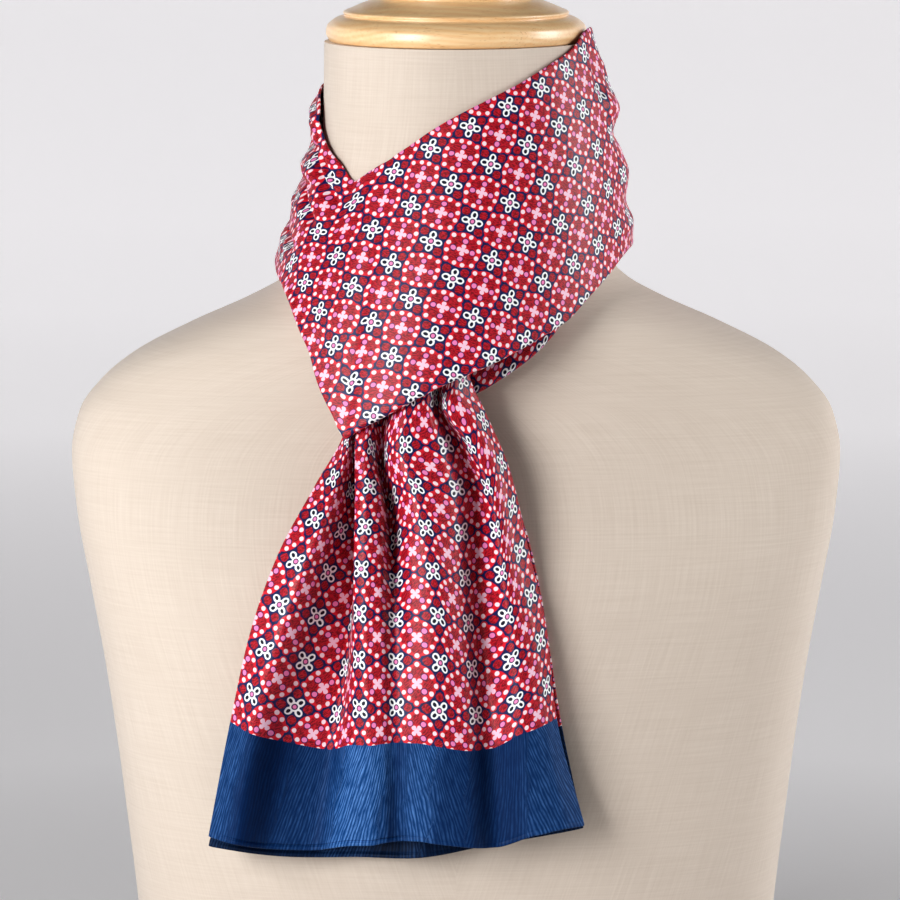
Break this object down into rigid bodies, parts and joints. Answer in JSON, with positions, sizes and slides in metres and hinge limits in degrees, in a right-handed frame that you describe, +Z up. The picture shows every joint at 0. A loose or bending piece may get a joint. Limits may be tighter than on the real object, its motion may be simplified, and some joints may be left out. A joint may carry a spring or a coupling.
{
  "type": "silk cravat on a limbless dress form",
  "caption": "Printed silk cravat tied in a pull-through knot round the neck of a linen-covered bust form with a turned wooden neck cap.",
  "frame": {"origin": "centre of the form's flat underside, on the neck's axis", "axes": "+Z up along the neck, -Y the front of the form, +X to the right of someone facing the front"},
  "size_m": [0.368, 0.231, 0.5473],
  "materials": {
    "linen": "fine natural linen, matt",
    "beech": "turned, clear gloss lacquer",
    "printed_silk": "satin-faced silk twill with a small red, white and navy foulard print",
    "navy_silk": "satin-faced silk, navy with fine lighter brush strokes"
  },
  "bodies": {
    "root": {"form_torso": "linen", "form_neck_cap": "beech", "wrap_front": "printed_silk", "wrap_back": "printed_silk", "wrap_under": "printed_silk", "tail_front": "printed_silk", "tail_front_band": "navy_silk", "tail_back": "printed_silk", "tail_back_band": "navy_silk"}
  },
  "joints": []
}
